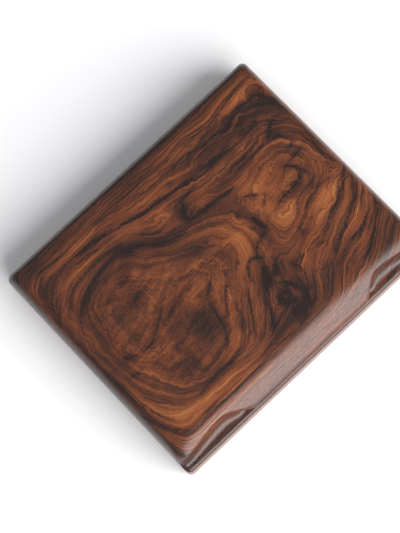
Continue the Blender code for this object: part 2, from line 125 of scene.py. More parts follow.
# ---------------------------------------------------------------- the case's own dimensions, read from the frame
lo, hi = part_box("base_shell")
lid_lo, lid_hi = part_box("lid_shell")
X0, X1, Y0, Y1 = lo[0], hi[0], lo[1], hi[1]
W, D = X1 - X0, Y1 - Y0
H = lid_hi[2]
AXIS = Vector((0, 0.07685, 0.0175))
for joint in frame["record"]["behaviour"]["joints"]:
    if joint["name"] == "lid_hinge":
        AXIS = Vector(joint["pos_m"])
ZP = AXIS.z
SEAM = 0.15 * MM
GAP = 0.3 * MM
CORNER_R = 3.2 * MM
WALL_SIDE, WALL_FRONT, WALL_BACK = 9 * MM, 10 * MM, 10 * MM
FLOOR_Z = 5 * MM
POCKET_R = 6 * MM
LID_WALL_FRONT, LID_DEPTH = 13.5 * MM, 9 * MM
CROWN = 0.5 * MM
SIDE_ROUND_A, SIDE_ROUND_B = 6 * MM, 12 * MM
ROLL_FROM, ROLL_BEND = 18.3 * MM, 25.3
RIM_R, RIM_B, RIM_H = 2.6 * MM, 1.8 * MM, 2.6 * MM
COVE_FRONT = RIM_R * (1 - math.cos(math.radians(72)))
COVE_BACK, COVE_TOP = 8.6 * MM, 7.2 * MM
LIP_UNDER, SCALLOP_TOP = 7.7 * MM, 13 * MM
LIP_RECESS, SCALLOP_RECESS, END_RECESS = 0.5 * MM, 10 * MM, 6.3 * MM
SCALLOP_AT = (34 * MM, 33 * MM)
LIP_FROM = (58 * MM, 51 * MM)
CREST_R = 0.8 * MM
HINGE_X, LEAF_LEN, LEAF_T, LEAF_DEPTH = 60 * MM, 25 * MM, 1 * MM, 8 * MM
KNUCKLE_R = 1.9 * MM
SCREW_X, SCREW_Y_IN, SCREW_LEN, SCREW_R = 7.5 * MM, 4.6 * MM, 8 * MM, 0.9 * MM
MAGNET_R, MAGNET_T, MAGNET_X, MAGNET_Y_IN = 2 * MM, 1.5 * MM, 80 * MM, 6.6 * MM


def ease(t):
    t = min(1, max(0, t))
    return (1 - math.cos(math.pi * t)) / 2


def soft_max(a, b, r):
    return (a + b + math.sqrt((a - b) ** 2 + r * r)) / 2


def lip_line(x):
    """How far behind the front face the lid's crest lies at x."""
    side = 0 if x < 0 else 1
    from_end = max(0, W / 2 - abs(x))
    deep, lip = SCALLOP_AT[side], LIP_FROM[side]
    if from_end < deep:
        return END_RECESS + (SCALLOP_RECESS - END_RECESS) * ease(from_end / deep)
    return SCALLOP_RECESS + (LIP_RECESS - SCALLOP_RECESS) * ease((from_end - deep) / (lip - deep))


def cove_line(x, z):
    """How far behind the front face the cove lies at x and at a height z above the parting line."""
    under_lip = 1 - (lip_line(x) - LIP_RECESS) / (SCALLOP_RECESS - LIP_RECESS)
    if W / 2 - abs(x) < SCALLOP_AT[0 if x < 0 else 1]:
        under_lip = 0
    under_lip = ease(under_lip)
    back = lip_line(x) + (COVE_BACK - lip_line(x)) * under_lip
    top = SCALLOP_TOP + (COVE_TOP - SCALLOP_TOP) * under_lip
    q = min(1, max(0, (top - z) / (top - RIM_H)))
    return COVE_FRONT + (back - COVE_FRONT) * (1 - q**3) ** (1 / 3)


# ---------------------------------------------------------------- the lid's fine shell
N_FRONT, N_END, N_BACK, N_CORNER = 150, 96, 120, 7


def contour(z, side, back, r_front, r_back, front):
    """One level outline of the lid with points all round it, about 1.3 mm apart."""
    half = W / 2 - side
    y_back = Y1 - back
    run = half - r_front
    y_left, y_right = Y0 + front(-run), Y0 + front(run)
    run_b = half - r_back
    out = []

    def arc(cx, cy, r, start):
        for i in range(N_CORNER):
            a = math.radians(start + 90 * i / N_CORNER)
            out.append((cx + r * math.cos(a), cy + r * math.sin(a), z))

    def straight(p, q, n):
        for i in range(n):
            t = i / n
            out.append((p[0] + (q[0] - p[0]) * t, p[1] + (q[1] - p[1]) * t, z))

    arc(-run, y_left + r_front, r_front, 180)
    for i in range(N_FRONT):
        x = -run + 2 * run * i / N_FRONT
        out.append((x, Y0 + front(x), z))
    arc(run, y_right + r_front, r_front, 270)
    straight((half, y_right + r_front), (half, y_back - r_back), N_END)
    arc(run_b, y_back - r_back, r_back, 0)
    straight((run_b, y_back), (-run_b, y_back), N_BACK)
    arc(-run_b, y_back - r_back, r_back, 90)
    straight((-half, y_back - r_back), (-half, y_left + r_front), N_END)
    return out


RIM_TOP = H - CROWN
ZL = ZP + SEAM


def side_inset(z):
    t = min(1, max(0, (z - (RIM_TOP - SIDE_ROUND_B)) / SIDE_ROUND_B))
    return SIDE_ROUND_A * (1 - math.sqrt(max(0, 1 - t * t)))


def level(z, front, r_front):
    side = side_inset(z)
    return contour(z, side, side, r_front, CORNER_R + 0.4 * side, front)


def above_lip(z):
    drop = max(0, RIM_TOP - z)
    roll = ROLL_FROM - math.sqrt(drop / ROLL_BEND)

    def front(x):
        return soft_max(min(lip_line(x), cove_line(x, z - ZP)), roll, CREST_R * min(1, drop / (1 * MM)))

    return front


def lid_rings():
    rings = []
    ch = 0.4 * MM
    for a in (0, 30, 60, 90):
        s, c = math.sin(math.radians(a)), math.cos(math.radians(a))
        inset = ch * (1 - s)
        rings.append(contour(ZL + ch * (1 - c), inset, inset, CORNER_R, CORNER_R, lambda x, i=inset: i))
    for a in range(0, 73, 9):
        s, c = math.sin(math.radians(a)), math.cos(math.radians(a))
        rings.append(level(ZP + RIM_H - RIM_B * (1 - s), lambda x, c=c: RIM_R * (1 - c), CORNER_R))
    n = 24
    for i in range(n + 1):
        z = RIM_H + 0.01 * MM + (COVE_TOP - RIM_H - 0.01 * MM) * (i / n) ** 2.2
        rings.append(level(ZP + z, lambda x, z=z: cove_line(x, z), (3.4 + 1.8 * i / n) * MM))
    rings.append(level(ZP + LIP_UNDER - 0.12 * MM, lambda x: cove_line(x, LIP_UNDER - 0.12 * MM), 5.2 * MM))
    nose = lambda x: lip_line(x) + 0.35 * MM
    rings.append(level(ZP + LIP_UNDER - 0.06 * MM, lambda x: min(nose(x), cove_line(x, LIP_UNDER - 0.06 * MM)), 5.2 * MM))
    rings.append(level(ZP + LIP_UNDER, above_lip(ZP + LIP_UNDER), 5.2 * MM))
    reach = math.sqrt((RIM_TOP - ZP - LIP_UNDER) / ROLL_BEND)
    n = 34
    for i in range(1, n):
        z = RIM_TOP - ROLL_BEND * (reach * (1 - i / n)) ** 2
        rings.append(level(z, above_lip(z), (5.2 + 4.2 * i / n) * MM))
    roll = ROLL_FROM
    rings.append(contour(RIM_TOP, SIDE_ROUND_A, SIDE_ROUND_A, 9.5 * MM, 5.6 * MM, lambda x: roll))
    last = 61.0
    steps = 42
    for k in range(1, steps + 1):
        inset = last * (k / steps)
        d = inset * MM
        rise = math.sin(min(1, inset / 34) * math.pi / 2)
        depth = (Y1 - SIDE_ROUND_A - d) - (Y0 + roll + d)
        r = 0.45 * depth
        rings.append(
            contour(RIM_TOP + CROWN * rise, SIDE_ROUND_A + d, SIDE_ROUND_A + d, min(10 * MM, r), min(8 * MM, r), lambda x, d=d: roll + d)
        )
    return rings


def loft(name, rings):
    count = len(rings[0])
    verts = [p for ring in rings for p in ring]
    faces = []
    for k in range(len(rings) - 1):
        a, b = k * count, (k + 1) * count
        for i in range(count):
            j = (i + 1) % count
            faces.append((a + i, a + j, b + j, b + i))
    faces.append(tuple(range(count - 1, -1, -1)))
    top = (len(rings) - 1) * count
    faces.append(tuple(range(top, top + count)))
    return mesh_object(name, verts, faces)


def hollows(sign, hollow_lo, hollow_hi, depth_front):
    """The cutters shared by lid (sign -1) and base (sign 1): hollow, mortises, magnet bores, knuckle rooms, pilots."""
    face = ZP - sign * SEAM
    first = bmesh.new()
    add_box(first, hollow_lo, hollow_hi, POCKET_R)
    for hx in (-HINGE_X, HINGE_X):
        half = LEAF_LEN / 2
        z1, z2 = face - sign * (LEAF_T + GAP), face + sign * 3 * MM
        add_box(first, (hx - half - GAP, Y1 - LEAF_DEPTH - GAP, min(z1, z2)), (hx + half + GAP, Y1 + 5 * MM, max(z1, z2)))
    for mx in (-MAGNET_X, MAGNET_X):
        depth = 0.1 * MM + MAGNET_T + GAP
        z1, z2 = face - sign * depth, face + sign * 5 * MM
        add_rod(first, MAGNET_R + GAP, abs(z1 - z2), (mx, Y0 + MAGNET_Y_IN, (z1 + z2) / 2))
    second = bmesh.new()
    for hx in (-HINGE_X, HINGE_X):
        add_rod(second, KNUCKLE_R + 0.4 * MM, LEAF_LEN + 2.8 * MM, (hx, AXIS.y, ZP), "X")
        for dx in (-SCREW_X, SCREW_X):
            z1, z2 = face - sign * (SCREW_LEN + 0.6 * MM), face - sign * 0.5 * MM
            add_rod(second, SCREW_R + GAP, abs(z1 - z2), (hx + dx, Y1 - SCREW_Y_IN, (z1 + z2) / 2), seg=16)
    return bm_object("cut_first", first), bm_object("cut_second", second)


lid = loft("lid_shell_fine", lid_rings())
for tool in hollows(-1, (X0 + WALL_SIDE, Y0 + LID_WALL_FRONT, ZP - 5 * MM), (X1 - WALL_SIDE, Y1 - WALL_BACK, ZP + LID_DEPTH), 0):
    cut(lid, tool)



def base_rings():
    """The base's outside: rounded at the foot, with the softened arris that makes the seam a shadow line."""
    foot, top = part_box("base_shell")[0][2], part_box("base_shell")[1][2]
    low, arris = 2.6 * MM, 0.8 * MM
    rings = []
    for a in range(0, 91, 10):
        s, c = math.sin(math.radians(a)), math.cos(math.radians(a))
        inset = low * (1 - s)
        rings.append(contour(foot + low * (1 - c), inset, inset, CORNER_R - inset, CORNER_R - inset, lambda x, i=inset: i))
    rings.append(contour((foot + top) / 2, 0, 0, CORNER_R, CORNER_R, lambda x: 0))
    for a in range(0, 91, 15):
        s, c = math.sin(math.radians(a)), math.cos(math.radians(a))
        inset = arris * (1 - c)
        rings.append(contour(top - arris * (1 - s), inset, inset, CORNER_R - inset, CORNER_R - inset, lambda x, i=inset: i))
    return rings


base = loft("base_shell_fine", base_rings())
for tool in hollows(1, (X0 + 9 * MM, Y0 + 10 * MM, 5 * MM), (X1 - 9 * MM, Y1 - 10 * MM, ZP + 5 * MM), 0):
    cut(base, tool)
recess = bmesh.new()
add_box(recess, (X0 + 9 * MM, Y0 + 9 * MM, -2 * MM), (X1 - 9 * MM, Y1 - 9 * MM, 1.6 * MM), 5 * MM)
cut(base, bm_object("cut_recess", recess))

# ---------------------------------------------------------------- the wood figure on the lid
# Guides are in millimetres, seen from above. Each guide is a growth line: the number is how deep in the
# figure it lies, from 0 at the edge of the board to 76 at the heart of the swirl.
GUIDES = [
    (0, [(-94, 68), (-94, 40), (-94, 10), (-94, -20), (-94, -50), (-93, -72)]),
    (0, [(-84, 77), (-50, 77), (-10, 77), (30, 77), (84, 77)]),
    (0, [(95, 66), (96, 40), (96, 15), (96, -4)]),
    (0, [(-80, -78), (-50, -78), (-10, -78), (30, -78), (60, -75), (94, -52)]),
    (5, [(-80, 70), (-50, 70.5), (-10, 70), (30, 69.5), (70, 70), (88, 70)]),
    (14, [(-88, 55), (-84, 59), (-78, 62), (-60, 61), (-40, 63.5), (-20, 62.5), (0, 61.8), (20, 60.5), (35, 61.5), (42, 60.5), (52, 59.5), (60, 60.8), (70, 63), (80, 64.5), (86, 64.3), (90, 62), (93, 56)]),
    (17, [(-36, 62), (-28, 61.2), (-18, 58.5), (-8, 57.4), (0, 57), (12, 58), (22, 56.5), (35, 55.5), (50, 57), (60, 57), (68, 56.5), (76, 55), (82, 54), (86, 51.5), (89, 47.5), (91.5, 42)]),
    (19.5, [(28, 50), (45, 50.5), (60, 50.5), (70, 49.5), (78, 48.5), (84, 46), (88, 42), (91, 35), (92.5, 20)]),
    (22, [(-91, 34), (-88.5, 42), (-85, 48), (-81, 53), (-72, 56), (-62, 56.5), (-52, 56), (-40, 55.5), (-30, 53.5), (-20, 50.5), (-10, 47.5), (0, 46.5), (10, 45), (20, 44), (30, 43), (50, 41.5), (61, 42), (70, 41.7), (77, 42), (83, 39), (87, 34), (89.5, 26), (91, 10), (92, -2)]),
    (22, [(-91, 20), (-91, 0), (-90.5, -20), (-89, -40), (-85, -55), (-79, -63), (-60, -63), (-30, -63), (0, -63), (20, -63)]),
    (25, [(-86, 40), (-80, 47), (-75, 51), (-68, 52.5), (-58, 52), (-45, 50.2), (-30, 49), (-15, 44), (0, 40.5), (20, 38), (45, 37), (70, 37.5)]),
    (32, [(-84, 14), (-82, 26), (-79, 36), (-74, 41), (-70, 43), (-62, 44.5), (-50, 45), (-40, 44.5), (-32, 42), (-26, 38), (-21, 33), (-16, 28.5), (-8, 25.5), (0, 23.5), (8, 20.8), (16, 17), (22, 13.5), (27, 9), (30, 4), (32.5, -3), (35, -9), (34, -15), (26, -20), (18, -25), (12, -32), (6, -40), (0, -47), (-8, -54), (-20, -57), (-40, -55), (-60, -53), (-74, -47), (-82, -34), (-85, -18), (-85, 0)]),
    (42, [(-79, 22), (-76, 28), (-71, 32.5), (-65, 35.5), (-58, 38), (-50, 38.5), (-42, 37.5), (-35, 34), (-29, 28), (-20, 21), (-9, 15), (2, 11), (9, 5), (12, -3), (8, -12), (1, -20), (-7, -29), (-14, -38), (-22, -46), (-36, -50), (-52, -49), (-66, -41), (-75, -27), (-80, -8), (-81, 8)]),
    (52, [(-74, 14), (-70, 22), (-63, 29), (-53, 32), (-43, 30), (-34, 23), (-24, 14), (-12, 7), (-3, 0), (-5, -9), (-12, -18), (-19, -30), (-27, -39), (-40, -43), (-53, -38), (-63, -28), (-71, -16), (-75, -1)]),
    (62, [(-68, 10), (-63, 19), (-53, 24), (-43, 21), (-33, 12), (-22, 4), (-18, -3), (-27, -5), (-38, -8), (-48, -13), (-58, -13), (-66, -4)]),
    (72, [(-60, 7), (-54, 14), (-46, 12), (-42, 6), (-48, 0), (-56, 0)]),
    (76, [(-52, 7)]),
    (66, [(-31, -25)]), (58, [(-38, -24), (-31, -17), (-23, -25), (-31, -34)]),
    (27.5, [(4, 37), (15, 35), (28, 33.5), (45, 31.8), (60, 31), (72, 32)]),
    (30, [(5, 27), (12, 25), (25, 24.3), (38, 22.3), (55, 26.5), (68, 27), (76, 25), (80, 18), (84, 8), (86, -2), (83, -8), (75, -11.5), (66, -14.5), (60, -17), (54, -20), (47, -23), (40, -25.5), (33, -27), (25, -32), (21, -40), (16, -50)]),
    (36, [(46, 17), (58, 20), (70, 18), (76, 12), (77, 4), (73, -3), (64, -7), (57, -11), (50, -15), (43, -16), (40, -8), (41, 3)]),
    (43, [(52, 8), (60, 9), (66, 6), (62, 2), (54, 1)]),
    (26, [(93, -11), (86, -17), (80, -22), (74, -25), (68, -27), (60, -30.5), (52, -32.5), (45, -33.5), (38, -35), (33, -38), (31, -43), (28, -50), (24, -58)]),
    (20, [(94, -20), (89, -24), (84, -28.5), (78, -32.5), (70, -36.5), (62, -40), (55, -43.5), (50, -47), (42, -53), (35, -60)]),
    (14, [(94, -30), (90, -34), (84, -40), (76, -44), (66, -46.5), (58, -48.5), (50, -52.5), (42, -60)]),
    (8, [(94, -40), (88, -45), (82, -49.5), (76, -53.5), (70, -57.5), (62, -61.5), (54, -67)]),
]

# Dark veins: half width, strength, points
VEINS = [
    (0.35, 0.55, [(-80, 72), (-40, 72.3), (0, 71.5), (40, 70.8), (84, 71.5)]),
    (0.5, 0.55, [(-79, 62.3), (-70, 62.3), (-58, 61)]),
    (0.35, 0.6, [(-36, 62.2), (-28, 61.5), (-18, 58.5), (-8, 57.4), (4, 56.2)]),
    (0.3, 0.55, [(-22, 62.6), (0, 61.8), (20, 60.6)]),
    (0.75, 0.8, [(33, 62), (42, 60.5), (52, 59.5), (60, 60.8), (70, 63), (80, 64.5), (86, 64.3), (90.5, 61.5)]),
    (0.6, 0.7, [(12, 58.5), (22, 56.6), (30, 55.8), (38, 55.5)]),
    (0.4, 0.6, [(38, 55.6), (50, 57), (60, 57), (68, 56.5)]),
    (0.8, 0.8, [(68, 56.5), (76, 55), (82, 54), (86, 51.5), (89, 47.5), (91, 43.5)]),
    (0.6, 0.5, [(28, 50.2), (45, 50.6), (62, 50.6)]),
    (0.8, 0.6, [(78, 49), (84, 46), (88, 42), (91, 36)]),
    (0.4, 0.75, [(-88, 42), (-85, 47.5), (-81, 53), (-76, 55), (-68, 56.3), (-60, 56.6)]),
    (1.5, 0.75, [(-58, 56.2), (-50, 55.5), (-42, 55), (-32, 53.5)]),
    (1.1, 0.65, [(-32, 53.6), (-22, 51), (-12, 48), (0, 46.6), (10, 45), (20, 44), (30, 43.2)]),
    (1.4, 0.6, [(28, 43.3), (38, 42.6), (50, 41.6)]),
    (0.7, 0.75, [(61, 42), (68, 41.8), (73, 42.3)]),
    (0.35, 0.6, [(-77, 50), (-70, 52.2), (-62, 52.8), (-54, 51.6), (-44, 50), (-34, 49.8)]),
    (0.4, 0.7, [(-90, 34), (-86, 40), (-82, 45), (-78, 48.5)]),
    (0.5, 0.7, [(-91, 44), (-87, 51), (-83, 57), (-80, 60.5)]),
    (0.45, 0.8, [(-79, 36), (-76, 39.5), (-71, 43), (-62, 44.6), (-50, 45.2), (-42, 44.6), (-34, 42.2)]),
    (1.9, 0.6, [(-82, 22), (-79, 27), (-74, 31.5), (-67, 35.2), (-60, 38), (-50, 40.5), (-40, 40.5), (-33, 38.5), (-27, 35.5), (-22, 32)]),
    (0.8, 0.85, [(-38, 39), (-33, 37), (-29, 36)]),
    (1.4, 0.5, [(-24, 33), (-18, 28.5), (-10, 25), (0, 22.5)]),
    (0.5, 0.35, [(0, 22.5), (8, 20.5), (16, 16.5), (22, 13), (27, 8.5), (30, 4)]),
    (1.5, 0.8, [(31.5, 2), (33, -4), (34.3, -9)]),
    (0.9, 0.7, [(34, -9.5), (28, -10), (23, -12), (18.5, -15.5)]),
    (0.9, 0.75, [(5, -24.5), (8, -20), (10.5, -16.5), (13.5, -15.2), (17, -16.2), (19.5, -18.5), (19.5, -21.5)]),
    (2.1, 0.85, [(19, -21), (15.5, -26), (12, -31), (8.5, -36)]),
    (1.2, 0.6, [(8.5, -36), (4, -42), (0, -48), (-4, -54)]),
    (0.5, 0.7, [(-1, -10), (-6, -16), (-12, -22), (-17, -29)]),
    (0.8, 0.75, [(1, -27), (-3, -33), (-6, -37.5), (-10, -43), (-14, -49)]),
    (0.6, 0.6, [(-20, -18), (-22, -27), (-24, -34), (-29, -42)]),
    (0.5, 0.5, [(-9, -28), (-13, -35), (-17, -41)]),
    (0.5, 0.55, [(-7, -5), (-13, -10), (-18, -13)]),
    (1.1, 0.8, [(18.5, -37.5), (21.5, -42), (22.3, -46)]),
    (0.9, 0.6, [(29.5, -33), (31.8, -37.5), (31, -42), (28, -48), (24, -53), (20, -60)]),
    (0.5, 0.5, [(22, -27.5), (22.5, -30), (19.5, -36.5)]),
    (0.6, 0.6, [(33, -34.8), (38, -34.3), (45, -33.2), (53, -32)]),
    (0.5, 0.45, [(24, -52), (30, -50), (36, -46), (40, -47.5), (46, -48)]),
    (0.8, 0.8, [(1, 37.5), (8, 37.7), (14, 38), (21, 38.8)]),
    (1.6, 0.75, [(9, 36.5), (7, 33), (4.5, 29.5), (5, 26.5)]),
    (0.6, 0.75, [(3, 25.2), (10, 25.4), (16, 24.8), (24, 24)]),
    (0.9, 0.75, [(24, 24), (30, 23.2), (37, 22.2)]),
    (0.3, 0.5, [(26, 33.8), (36, 32.6), (45, 31.6), (60, 31.4)]),
    (0.3, 0.5, [(33, 30.2), (45, 29), (58, 28.7), (74, 27.6)]),
    (0.6, 0.75, [(34, 15), (38, 13.5), (42, 11), (45, 8.5)]),
    (1.0, 0.8, [(45.5, 8.5), (46.5, 7), (44, 4.5), (43, 3.6)]),
    (1.1, 0.7, [(81, 36), (77, 35), (74, 32), (71, 30)]),
    (0.9, 0.75, [(72, 27.8), (76.5, 26.8), (78.5, 23), (80.5, 20), (78.5, 17.8), (75.5, 17.8)]),
    (0.5, 0.6, [(82.5, 13.8), (79, 12.3), (74, 11.8), (68, 11.5)]),
    (0.9, 0.6, [(66, 11), (70, 8), (72, 3), (74, -2)]),
    (0.6, 0.6, [(43, -4.5), (49, -2.5), (55, -1.5), (64, -0.5), (71, 2)]),
    (1.0, 0.6, [(52, -14), (56, -10.5), (60, -7.5), (67, -6.5), (75, -5.5)]),
    (0.6, 0.55, [(54, -18.5), (59, -17), (66, -14), (74, -11.5), (82, -9.5), (86, -5.5), (87, 1), (89, 9), (89, 18)]),
    (0.5, 0.5, [(58, -15), (66, -10.5), (73, -9.5)]),
    (1.1, 0.85, [(93, -11.5), (89.5, -14), (86, -17), (80.5, -21.5), (75, -24.5), (68, -26.6), (62, -30), (57, -31.8)]),
    (1.1, 0.75, [(92.5, -16), (88, -23), (84, -28), (78, -32.3), (71, -36), (65, -39), (59, -41.5), (53, -45)]),
    (0.55, 0.7, [(88, -31), (83, -38), (77, -43.6), (70, -45.5), (62, -46.5), (56, -49), (49, -52)]),
    (0.5, 0.5, [(80, -45), (72, -48), (64, -51), (56, -56)]),
    (1.0, 0.75, [(93, -35), (88.5, -42.5), (82, -48.5), (76, -52.5), (70, -56.5), (63, -60)]),
    (0.8, 0.6, [(-92, -38), (-88, -49), (-84, -56), (-79, -62)]),
    (0.6, 0.55, [(-89, -8), (-88.5, -28), (-85.5, -42), (-81, -52)]),
    (0.9, 0.7, [(-77, -6.5), (-74, -9)]),
    (0.6, 0.5, [(-76, -7), (-69, -11), (-60, -11.5), (-53, -8), (-47, -4), (-41, 0)]),
    (0.5, 0.5, [(-83, -16.5), (-78, -18.5), (-72, -18.5)]),
    (0.4, 0.6, [(-40, -6.3), (-34, -4.5), (-28, -2.5), (-19, -3.2)]),
    (0.7, 0.5, [(-60, -52), (-48, -50.2), (-36, -50.3), (-26, -49)]),
    (0.8, 0.6, [(47, -22), (48, -25.5)]),
    (0.6, 0.5, [(46, -20.5), (53, -21), (57, -18.5)]),
    (0.6, 0.55, [(-64, -61.5), (-50, -64), (-30, -63.5), (-10, -61.5), (4, -62.5)]),
    (1.2, 0.5, [(6, -63), (12, -61.5), (18, -61)]),
]
# the two eyes: centre, radius
EYES = [((13.5, -44.5), 3.6), ((15.5, -54.5), 3.9)]
for (ex, ey), er in EYES:
    for rr, s in ((er, 0.7), (er * 0.45, 0.7)):
        ring = [(ex + rr * math.cos(a) * 1.15, ey + rr * math.sin(a)) for a in np.linspace(0.2, 2 * math.pi - 0.5, 9)]
        VEINS.append((0.35, s, ring))

# Shade: broad dark (positive) and light (negative) places of the figure, and painted shade along the left end and the
# rear edge: x, y, reach along, reach across, angle, amount
SHADES = [
    (-57, 11, 26, 20, 10, 0.28), (-60, 33, 20, 6, 15, 0.25), (-33, 37, 10, 5, -30, 0.35), (-18, 29, 14, 7, -35, 0.30),
    (-5, 14, 18, 10, -20, 0.34), (-30, -24, 11, 11, 0, 0.55), (-42, -14, 12, 8, 30, 0.35), (-56, -36, 14, 11, 0, 0.38),
    (-44, -46, 14, 6, 0, 0.34), (-30, -27, 6, 6, 0, 0.3), (0, -2, 14, 10, -20, 0.22), (50, 46, 26, 6, 0, 0.26),
    (65, 50, 14, 7, -10, 0.2), (83, 36, 9, 12, 0, 0.22), (22, 44, 14, 4, -6, 0.1), (7, 31, 6, 8, 60, 0.35), (-14, 40, 7, 4, 20, 0.15),
    (30, -14, 12, 6, 0, 0.22), (36, -22, 12, 8, 0, 0.05), (22, -46, 16, 12, 60, 0.3), (30, -56, 30, 8, 10, 0.34), (0, -54, 16, 9, 0, 0.36),
    # painted shade: (-88, 25), (-82, 66), (-90, -30) and (0, 77) darken the left end, the rear left corner and the rear
    # edge
    (13, -32, 9, 6, 55, 0.3), (-70, 68, 26, 5, 0, 0.22), (-15, 67, 20, 5, 0, 0.25), (40, 68, 40, 5, 0, 0.12), (-88, 25, 10, 46, 0, 0.30),
    (-82, 66, 12, 10, 0, 0.22), (-90, -30, 7, 40, 0, 0.28), (0, 77, 100, 4, 0, 0.2), (90, 0, 6, 30, 0, 0.12), (-76, -10, 7, 4, -20, 0.3), (-65, -3, 4, 3, 0, 0.3),
    (-43, 30, 5, 3, 0, 0.35), (-63, 24, 4, 3, 0, 0.3), (-47, 27, 5, 3, 0, 0.2), (-48, 14, 4, 4, 0, 0.3), (-71, 19, 5, 4, 0, 0.25), (-77, 10, 4, 6, 0, 0.25),
    (-6, 5, 6, 7, 0, 0.2), (8, -33, 8, 5, 55, 0.2), (40, 42, 8, 4, 0, 0.2), (75, 30, 7, 4, 30, 0.25), (60, 20, 16, 10, 0, 0.08),
    (-25, -54, 12, 5, 0, 0.12), (-20, -12, 6, 4, 0, 0.3), (70, 2, 12, 5, 20, 0.15),
    (72, -18, 16, 5, 12, -0.55), (62, -24, 12, 5, 15, -0.3), (50, -9, 10, 5, 20, -0.3), (76, -38, 14, 4, 20, -0.3), (66, -52, 12, 3, 18, -0.25),
    (42, 18, 12, 8, -10, -0.25), (55, 5, 14, 5, 0, -0.2), (15, 30, 12, 5, 0, -0.22), (-6, 38, 8, 6, -20, -0.4), (20, 3, 10, 9, 0, -0.25),
    (-60, 48.5, 24, 2.6, 3, -0.35), (-20, 46, 12, 3, -16, -0.35), (-10, 53, 18, 3, -8, -0.25), (-60, 59.5, 24, 2.2, 0, -0.3), (70, 60, 18, 3, 4, -0.25),
    (15, 41, 14, 2, 0, -0.25), (45, 36, 24, 4, 0, -0.15), (-83, 22, 3, 18, 0, -0.3), (-62, 20, 3, 2, 0, -0.25), (-45, -41, 7, 2.4, 0, -0.32),
    (-50, -56, 24, 4, 0, -0.25), (12, -10, 10, 8, 50, -0.25), (35, -30, 10, 5, 0, -0.2), (-25, -8, 6, 4, 0, -0.2), (-38, 8, 8, 5, 20, -0.15),
    (28, -40, 4, 5, 0, -0.15), (-8, -20, 5, 14, -40, -0.2), (84, 60, 8, 4, 0, -0.15), (-86, -30, 2.5, 20, 0, -0.3), (40, 8, 6, 8, 0, -0.1),
]


def spline_points(points, step=1.5):
    """A smooth curve through the points, sampled about every step millimetres."""
    p = np.array(points, float)
    if len(p) < 3:
        n = max(2, int(np.linalg.norm(p[-1] - p[0]) / step) + 1) if len(p) > 1 else 1
        return p if len(p) == 1 else np.array([p[0] + (p[-1] - p[0]) * t for t in np.linspace(0, 1, n)])
    ext = np.vstack([2 * p[0] - p[1], p, 2 * p[-1] - p[-2]])
    out = []
    for i in range(1, len(ext) - 2):
        a, b, c, d = ext[i - 1 : i + 3]
        n = max(1, int(np.linalg.norm(c - b) / step))
        for t in np.arange(n) / n:
            out.append(0.5 * (2 * b + (c - a) * t + (2 * a - 5 * b + 4 * c - d) * t * t + (3 * b - a - 3 * c + d) * t ** 3))
    out.append(p[-1])
    return np.array(out)


def fit_growth():
    """Thin-plate surface through the guides."""
    pts, vals = [], []
    for value, points in GUIDES:
        for q in spline_points(points, 7.0):
            pts.append(q)
            vals.append(value)
    pts, vals = np.array(pts) / 100, np.array(vals, float)
    d = np.linalg.norm(pts[:, None] - pts[None], axis=2)
    k = np.where(d > 1e-9, d * d * np.log(np.maximum(d, 1e-9)), 0) + 2e-4 * np.eye(len(pts))
    p = np.hstack([np.ones((len(pts), 1)), pts])
    a = np.vstack([np.hstack([k, p]), np.hstack([p.T, np.zeros((3, 3))])])
    w = np.linalg.solve(a, np.concatenate([vals, np.zeros(3)]))

    def at(xy):
        out = np.empty(len(xy))
        for s in range(0, len(xy), 4000):
            q = xy[s : s + 4000] / 100
            r = np.linalg.norm(q[:, None] - pts[None], axis=2)
            r2 = np.where(r > 1e-9, r * r * np.log(np.maximum(r, 1e-9)), 0)
            out[s : s + 4000] = r2 @ w[:-3] + w[-3] + q @ w[-2:]
        return out

    return at


def vein_field(xy):
    """Distance to the nearest vein's edge, weighed so that strong veins win, and that vein's strength."""
    best = np.full(len(xy), 1e3)
    force = np.zeros(len(xy))
    for half, strength, points in VEINS:
        line = spline_points(points)
        low, high = line.min(0) - 9, line.max(0) + 9
        near = np.where(((xy > low) & (xy < high)).all(1))[0]
        if not len(near):
            continue
        q = xy[near]
        a, b = line[:-1], line[1:]
        ab = b - a
        t = np.clip(((q[:, None] - a) * ab).sum(2) / np.maximum((ab * ab).sum(1), 1e-9), 0, 1)
        dist = np.linalg.norm(q[:, None] - (a + t[..., None] * ab), axis=2)
        k = dist.argmin(1)
        d = dist[np.arange(len(q)), k]
        s = (k + t[np.arange(len(q)), k]) / len(a)
        taper = np.clip(np.minimum(s, 1 - s) * 5, 0.15, 1)
        edge = d - 0.62 * half * taper
        closer = edge < best[near]
        best[near[closer]] = edge[closer]
        force[near[closer]] = strength
    return best, force


def shade_field(xy):
    out = np.zeros(len(xy))
    for x, y, rx, ry, angle, amount in SHADES:
        c, s = math.cos(math.radians(angle)), math.sin(math.radians(angle))
        d = xy - (x, y)
        u, v = (d[:, 0] * c + d[:, 1] * s) / rx, (-d[:, 0] * s + d[:, 1] * c) / ry
        out += amount * np.exp(-(u * u + v * v))
    return out


def points_of(mesh):
    co = np.empty(len(mesh.vertices) * 3, np.float32)
    mesh.vertices.foreach_get("co", co)
    return co.reshape(-1, 3).astype(float) * 1000


def put_attribute(mesh, name, values):
    mesh.attributes.new(name, "FLOAT", "POINT").data.foreach_set("value", np.asarray(values, np.float32))


growth_at = fit_growth()
co = points_of(lid.data)
put_attribute(lid.data, "growth", growth_at(co[:, :2]) - 0.8 * (H * 1000 - co[:, 2]))
edge, force = vein_field(co[:, :2])
put_attribute(lid.data, "vein_edge", np.clip(edge, -5, 8))
put_attribute(lid.data, "vein_force", force)
put_attribute(lid.data, "shade", shade_field(co[:, :2]))


